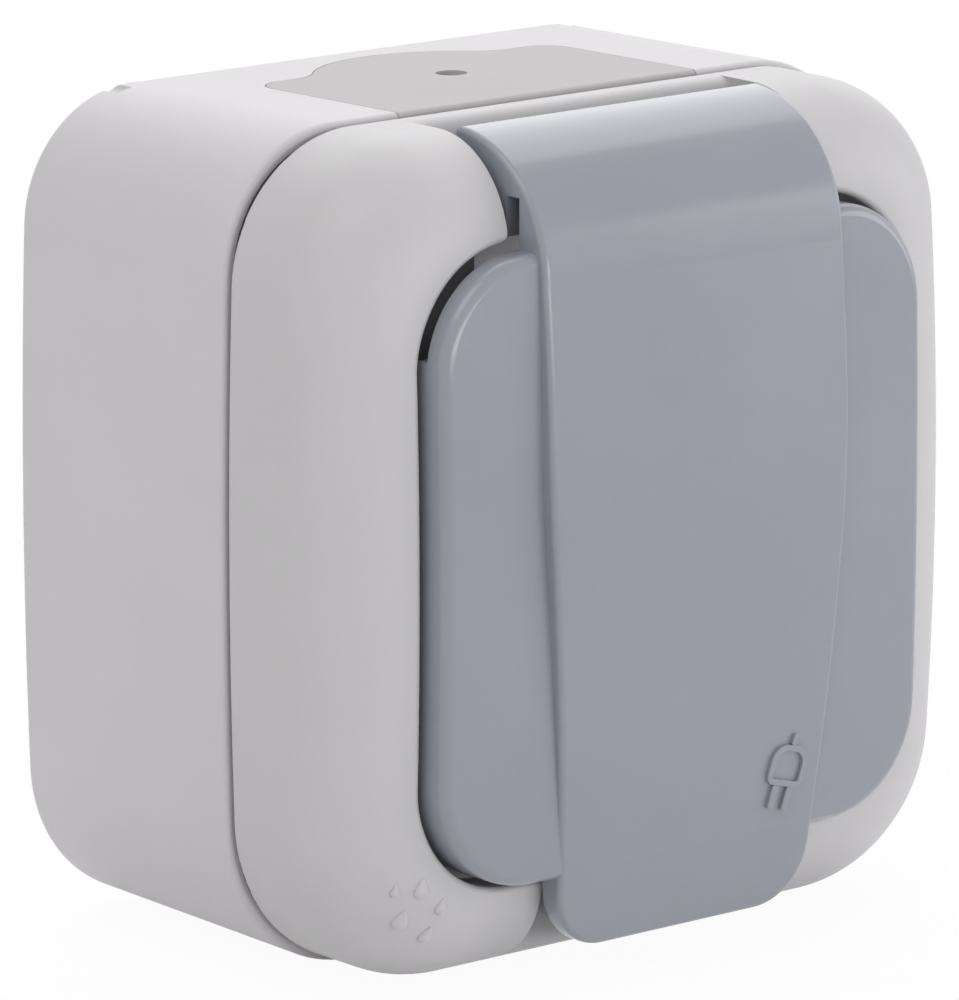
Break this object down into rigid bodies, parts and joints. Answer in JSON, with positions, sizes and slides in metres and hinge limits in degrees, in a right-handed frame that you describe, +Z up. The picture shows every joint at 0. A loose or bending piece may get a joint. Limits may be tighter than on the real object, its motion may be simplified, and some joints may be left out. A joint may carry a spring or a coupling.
{
  "type": "weatherproof socket outlet",
  "caption": "Surface-mounted weatherproof socket outlet: rounded grey housing with a recessed cup for a round-pin plug under a spring-closed hinged lid.",
  "frame": {"origin": "centre of the back face of the box, on the wall, midway between the wall screws", "axes": "+Z up, -Y out of the front, +X to the right seen from the front"},
  "size_m": [0.072, 0.0493, 0.0732],
  "materials": {
    "housing_grey": "fine moulded texture, matt",
    "entry_grey": "soft moulded plastic, satin",
    "lid_grey": "smooth moulded, semi-gloss",
    "cup_grey": "smooth moulded, satin",
    "carrier_white": "moulded, matt",
    "seal_rubber": "soft black rubber",
    "steel": "zinc-plated steel",
    "brass": "bright pressed sheet",
    "tinned_brass": "tinned pressed sheet"
  },
  "bodies": {
    "housing": {"back_box": "housing_grey", "front_cover": "housing_grey", "top_cable_entry": "entry_grey", "bottom_cable_entry": "entry_grey", "cover_seal": "seal_rubber", "cup_seal": "seal_rubber", "socket_cup": "cup_grey", "contact_carrier": "carrier_white", "hinge_pin": "steel", "lid_spring": "steel", "cover_screws": "steel", "centre_screw": "steel", "carrier_screws": "steel", "terminal_screws": "steel", "earth_strap": "tinned_brass", "line_contact": "brass", "neutral_contact": "brass", "line_clamp": "steel", "neutral_clamp": "steel", "earth_clamp": "steel"},
    "lid": {"lid": "lid_grey", "lid_seal": "seal_rubber"}
  },
  "joints": [
    {"name": "lid_hinge", "type": "hinge", "parent": "housing", "child": "lid", "pos_m": [0, -0.04, 0.031], "axis": [-1, 0, 0], "range_deg": [0, 110], "stiffness_Nm_per_rad": 0.02, "springref_deg": -57.3, "deforming": ["lid_spring"]}
  ]
}
